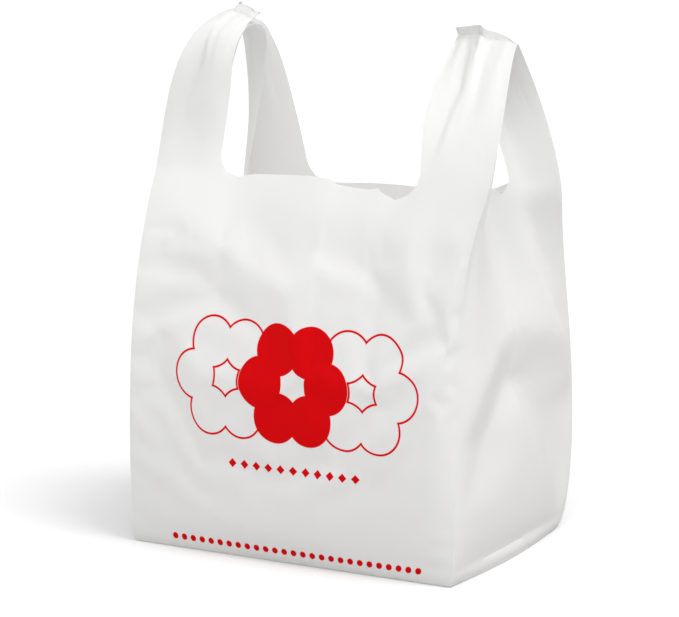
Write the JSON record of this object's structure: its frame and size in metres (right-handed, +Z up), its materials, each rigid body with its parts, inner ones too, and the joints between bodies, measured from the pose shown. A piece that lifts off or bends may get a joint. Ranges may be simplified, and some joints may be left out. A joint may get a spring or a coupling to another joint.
{
  "type": "plastic carrier bag",
  "caption": "White film carrier bag with side gussets and two loop handles, opened out and standing on its squared base.",
  "frame": {"origin": "under the middle of the squared base, on the surface that the bag stands on", "axes": "+Z up through the mouth, the printed front panel faces -Y, the gusseted sides face +X and -X"},
  "size_m": [0.2953, 0.2122, 0.4062],
  "materials": {
    "film": "thin white high-density polyethylene film, satin and a little translucent, finely creased, with a red print on the front"
  },
  "bodies": {
    "root": {"bag": "film"}
  },
  "joints": []
}
